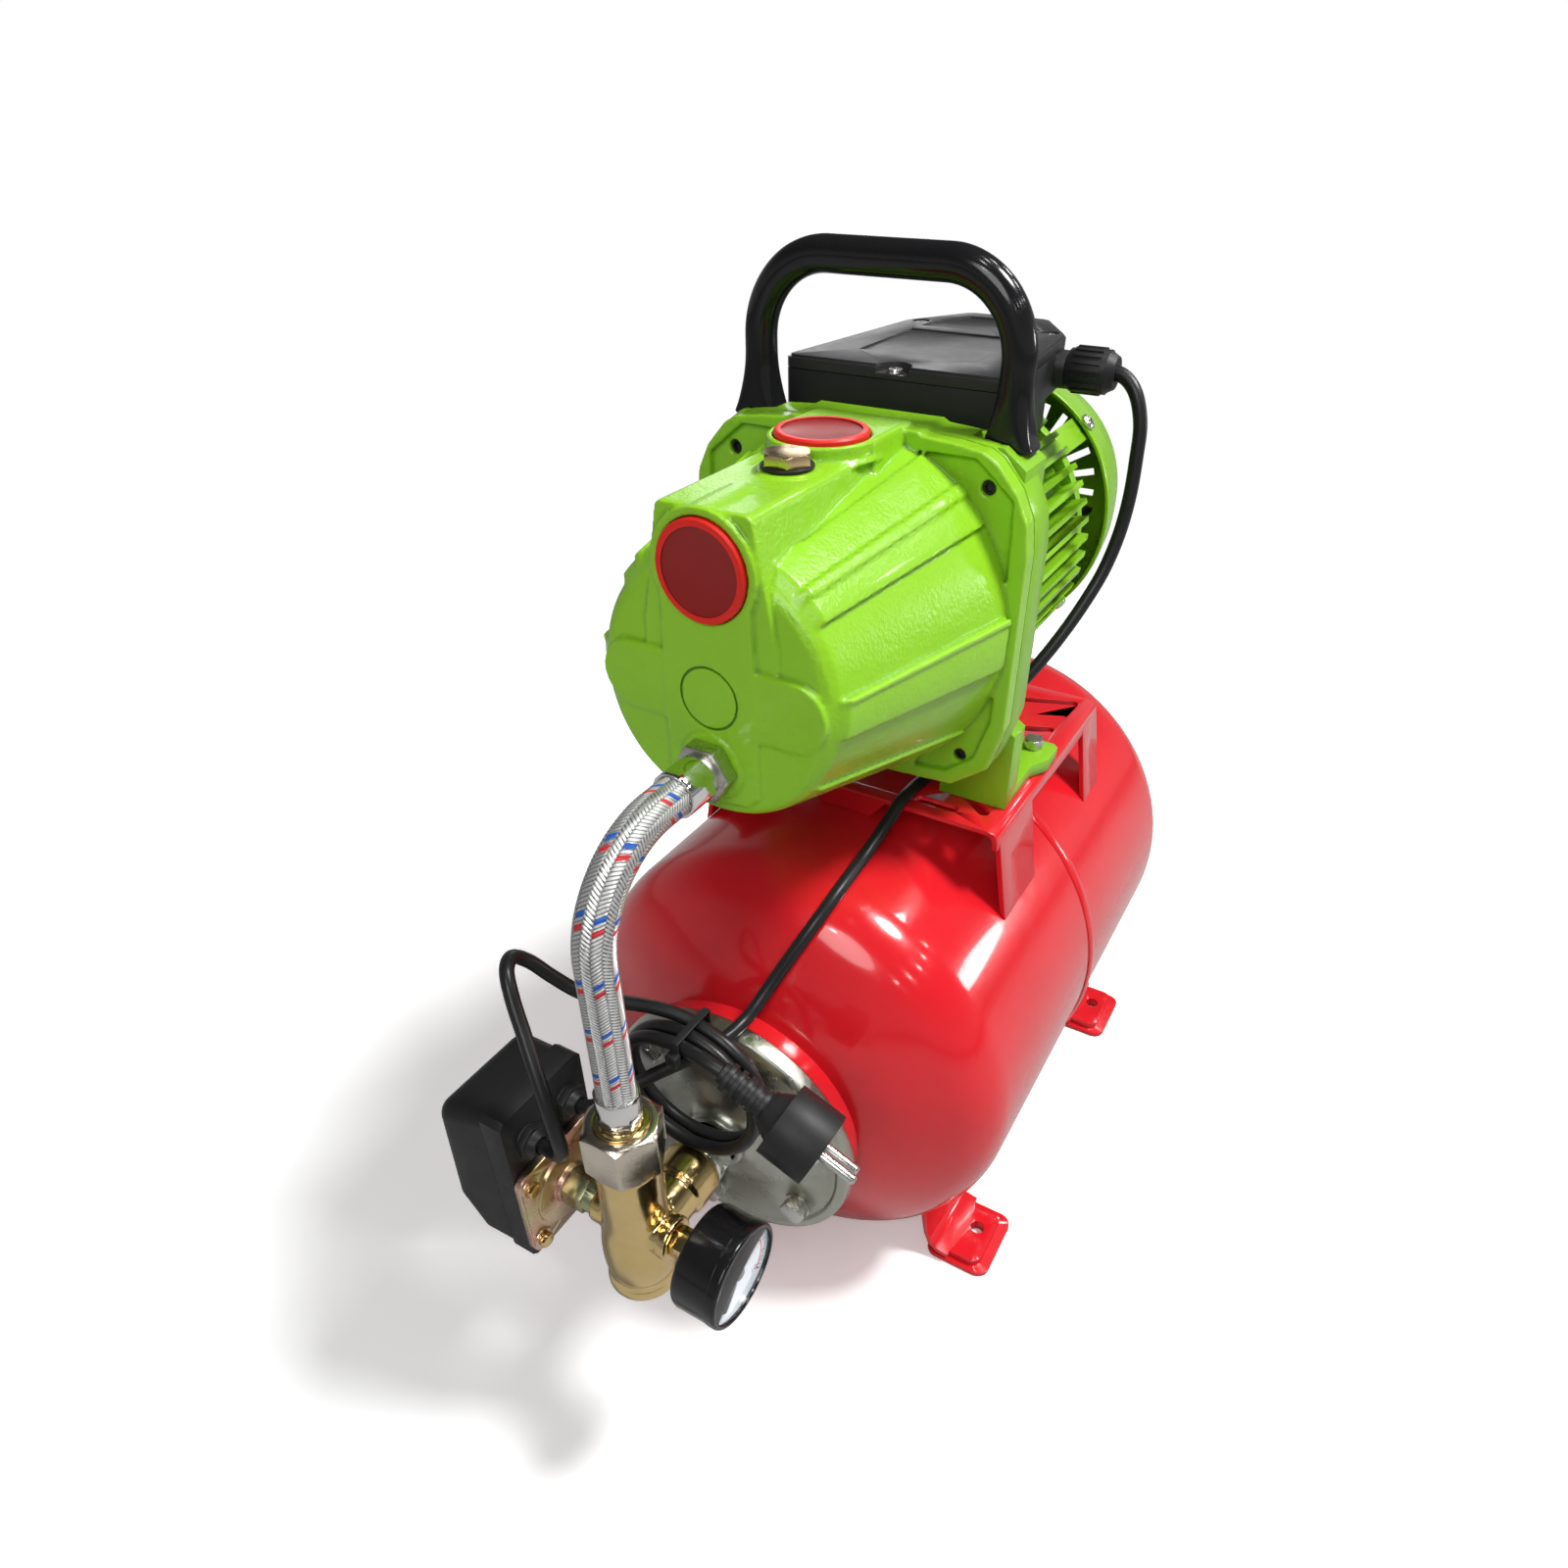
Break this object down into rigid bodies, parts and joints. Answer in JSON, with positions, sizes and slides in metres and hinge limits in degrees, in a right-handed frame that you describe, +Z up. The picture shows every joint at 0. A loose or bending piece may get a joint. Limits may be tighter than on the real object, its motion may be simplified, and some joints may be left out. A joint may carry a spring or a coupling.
{
  "type": "shallow well jet pump",
  "caption": "Jet pump and motor on a horizontal pressure tank, joined by a braided hose and a five-way fitting with gauge and pressure switch.",
  "frame": {"origin": "on the floor, in the middle of the four foot holes", "axes": "+Z up; +Y along the tank and the shaft, from the pump's face towards the motor's fan; +X to the right, where the gauge faces"},
  "size_m": [0.276, 0.5668, 0.556],
  "materials": {
    "red_paint": "gloss powder coat",
    "lime_paint": "gloss paint over cast iron, slightly grainy",
    "lime_alloy": "gloss paint over cast aluminium",
    "lime_sheet": "gloss paint over sheet steel",
    "zinc": "dull zinc plate",
    "bright_steel": "bright zinc plate",
    "chrome": "polished",
    "brass": "machined",
    "nickel": "satin nickel plate",
    "green_zinc": "yellow-green passivated zinc",
    "pink_zinc": "iridescent passivated zinc",
    "shaft_steel": "ground",
    "lamination": "varnished sheets",
    "copper": "enamelled wire",
    "braid": "steel braid over rubber",
    "black_rubber": "satin",
    "black_gloss": "gloss",
    "black_matte": "fine texture",
    "grey_matte": "fine texture",
    "red_plastic": "moulded",
    "tan_plastic": "glass-filled",
    "dial_white": "matt",
    "glass": "clear",
    "dark_steel": "black oxide",
    "yellow_zinc": "yellow chromate zinc"
  },
  "bodies": {
    "set": {"tank_front_shell": "red_paint", "tank_rear_shell": "red_paint", "tank_bladder": "black_rubber", "foot_front": "red_paint", "foot_rear": "red_paint", "pump_bracket": "red_paint", "tank_flange": "zinc", "flange_bolts": "bright_steel", "air_valve": "brass", "pump_body": "lime_paint", "ejector": "tan_plastic", "diffuser": "tan_plastic", "shaft_seal": "black_rubber", "pump_bolts": "dark_steel", "motor_bracket": "lime_alloy", "foot_bolts": "bright_steel", "motor_frame": "lime_alloy", "stator": "lamination", "windings": "copper", "bearings": "shaft_steel", "end_shield": "lime_alloy", "fan_cover": "lime_sheet", "cover_screws": "bright_steel", "terminal_box": "black_matte", "terminal_lid": "grey_matte", "lid_screws": "bright_steel", "cord_gland": "black_matte", "handle": "black_gloss", "hose_nut": "bright_steel", "hose_sleeves": "chrome", "hose": "braid", "union_nut": "nickel", "hose_tail": "brass", "five_way": "brass", "tank_nipple": "chrome", "gauge_stem": "brass", "gauge_case": "black_gloss", "gauge_dial": "dial_white", "gauge_glass": "glass", "switch_nut": "green_zinc", "switch_flange": "pink_zinc", "switch_base": "black_matte", "switch_cover": "black_matte", "switch_bolts": "brass", "switch_glands": "black_matte", "motor_cord": "black_rubber", "mains_cord": "black_rubber", "mains_plug": "black_matte", "plug_pins": "bright_steel", "cord_tie": "black_matte"},
    "rotating_set": {"rotor": "shaft_steel", "impeller": "tan_plastic", "fan": "black_matte"},
    "gauge_needle_body": {"gauge_needle": "black_matte"},
    "suction_cap_body": {"suction_cap": "red_plastic"},
    "discharge_cap_body": {"discharge_cap": "red_plastic"},
    "priming_plug_body": {"priming_plug": "yellow_zinc", "priming_washer": "black_rubber"},
    "valve_cap_body": {"valve_cap": "black_matte"}
  },
  "joints": [
    {"name": "rotor_spin", "type": "hinge", "parent": "set", "child": "rotating_set", "pos_m": [0, 0, 0.404], "axis": [0, 1, 0], "continuous": true},
    {"name": "gauge_needle_turn", "type": "hinge", "parent": "set", "child": "gauge_needle_body", "pos_m": [0.06, -0.306, 0.1635], "axis": [-1, 0, 0], "range_deg": [0, 270]},
    {"name": "suction_cap_off", "type": "slide", "parent": "set", "child": "suction_cap_body", "axis": [0, -1, 0], "range_m": [0, 0.06]},
    {"name": "discharge_cap_off", "type": "slide", "parent": "set", "child": "discharge_cap_body", "axis": [0, 0, 1], "range_m": [0, 0.06]},
    {"name": "priming_plug_out", "type": "slide", "parent": "set", "child": "priming_plug_body", "axis": [0, 0, 1], "range_m": [0, 0.06]},
    {"name": "valve_cap_off", "type": "slide", "parent": "set", "child": "valve_cap_body", "axis": [0, 1, 0], "range_m": [0, 0.04]}
  ]
}
